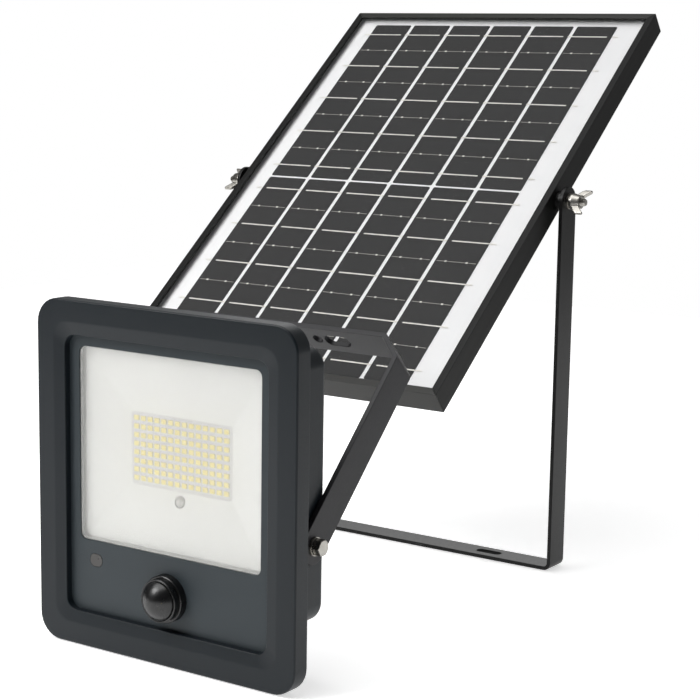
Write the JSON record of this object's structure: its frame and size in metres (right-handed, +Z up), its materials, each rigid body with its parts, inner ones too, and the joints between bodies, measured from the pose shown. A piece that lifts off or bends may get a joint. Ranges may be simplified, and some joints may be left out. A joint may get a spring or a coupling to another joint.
{
  "type": "solar flood light",
  "caption": "Flood light with motion sensor on a flat-bar yoke, beside its own solar panel, which tilts in a U-shaped flat-bar bracket with wing nuts.",
  "frame": {"origin": "centre of the panel bracket's foot, on its underside", "axes": "X along the foot, Y to the back, Z up. The panel and the lamp both face -Y, and the lamp stands in front of the bracket"},
  "size_m": [0.2806, 0.4435, 0.3541],
  "materials": {
    "bracket_paint": "satin black powder coat",
    "frame_anodised": "black anodised, fine extrusion lines",
    "solar_glass": "clear, low iron",
    "solar_cell": "dark grey silicon, fine diagonal texture",
    "tinned_ribbon": "bright tinned copper",
    "silver_print": "thin printed silver",
    "white_backsheet": "white, matt",
    "raw_aluminium": "mill finish",
    "black_plastic": "matt black moulding",
    "zinc_steel": "bright zinc plated",
    "stainless": "bright stainless",
    "lamp_moulding": "satin anthracite moulding",
    "face_moulding": "fine matt dark grey moulding",
    "frosted_window": "frosted white diffuser",
    "white_reflector": "glossy white",
    "rubber_seal": "matt black silicone",
    "white_board": "white solder mask on aluminium-core board",
    "led_phosphor": "yellow phosphor in a white package",
    "green_board": "green solder mask",
    "chip_black": "black moulded packages",
    "cell_sleeve": "blue sleeve on a steel can",
    "lens_black": "smooth black, passes infra-red",
    "yoke_paint": "satin charcoal powder coat"
  },
  "bodies": {
    "bracket": {"panel_bracket": "bracket_paint"},
    "panel": {"frame_rail_right": "frame_anodised", "frame_rail_left": "frame_anodised", "frame_rail_top": "frame_anodised", "frame_rail_bottom": "frame_anodised", "panel_glass": "solar_glass", "backsheet": "white_backsheet", "corner_keys": "raw_aluminium", "cell_strips": "solar_cell", "cell_ribbons": "tinned_ribbon", "cell_busbars": "silver_print", "junction_box_base": "black_plastic", "junction_box_lid": "black_plastic", "junction_box_screws": "stainless", "junction_box_gland": "rubber_seal", "junction_box_terminals": "chip_black", "panel_pivot_bolts": "zinc_steel", "panel_pivot_spacers": "black_plastic", "panel_pivot_washers": "zinc_steel"},
    "right_washer": {"spring_washer_right": "zinc_steel"},
    "right_nut": {"wing_nut_right": "zinc_steel"},
    "left_washer": {"spring_washer_left": "zinc_steel"},
    "left_nut": {"wing_nut_left": "zinc_steel"},
    "lamp": {"front_bezel": "lamp_moulding", "face_panel": "face_moulding", "rear_housing": "lamp_moulding", "reflector_tray": "white_reflector", "window": "frosted_window", "window_seal": "rubber_seal", "led_board": "white_board", "leds": "led_phosphor", "led_board_screw": "stainless", "heat_spreader": "raw_aluminium", "control_board": "green_board", "control_parts": "chip_black", "battery_cells": "cell_sleeve", "battery_tray": "black_plastic", "pir_collar": "black_plastic", "pir_dome": "lens_black", "pir_sensor": "stainless", "pir_board": "green_board", "receiver_chip": "chip_black", "receiver_lens": "lens_black", "housing_gasket": "rubber_seal", "bezel_screws": "stainless", "lead_gland": "black_plastic", "lead_gland_cap": "black_plastic", "breather_vent": "black_plastic", "yoke_bolts": "stainless", "yoke_washers": "stainless", "yoke_spring_washers": "stainless"},
    "yoke": {"yoke": "yoke_paint"}
  },
  "joints": [
    {"name": "panel_tilt", "type": "hinge", "parent": "bracket", "child": "panel", "pos_m": [0, 0, 0.236], "axis": [1, 0, 0], "range_deg": [-129, 51]},
    {"name": "right_washer_slide", "type": "slide", "parent": "panel", "child": "right_washer", "axis": [1, 0, 0], "range_m": [0, 0.00121]},
    {"name": "right_nut_turn", "type": "hinge", "parent": "right_washer", "child": "right_nut", "pos_m": [0.134, 0, 0.236], "axis": [1, 0, 0], "range_deg": [0, 540]},
    {"name": "left_washer_slide", "type": "slide", "parent": "panel", "child": "left_washer", "axis": [-1, 0, 0], "range_m": [0, 0.00121]},
    {"name": "left_nut_turn", "type": "hinge", "parent": "left_washer", "child": "left_nut", "pos_m": [-0.134, 0, 0.236], "axis": [-1, 0, 0], "range_deg": [0, 540]},
    {"name": "lamp_slide", "type": "slide", "parent": "bracket", "child": "lamp", "axis": [0, -1, 0], "range_m": [0, 0.3]},
    {"name": "yoke_tilt", "type": "hinge", "parent": "lamp", "child": "yoke", "pos_m": [0.045, -0.273, 0.0755], "axis": [1, 0, 0], "range_deg": [-134, 44]}
  ],
  "couplings": [
    {"joint": "right_washer_slide", "follows": "right_nut_turn", "m_per_rad": 0.00012732},
    {"joint": "left_washer_slide", "follows": "left_nut_turn", "m_per_rad": 0.00012732}
  ]
}
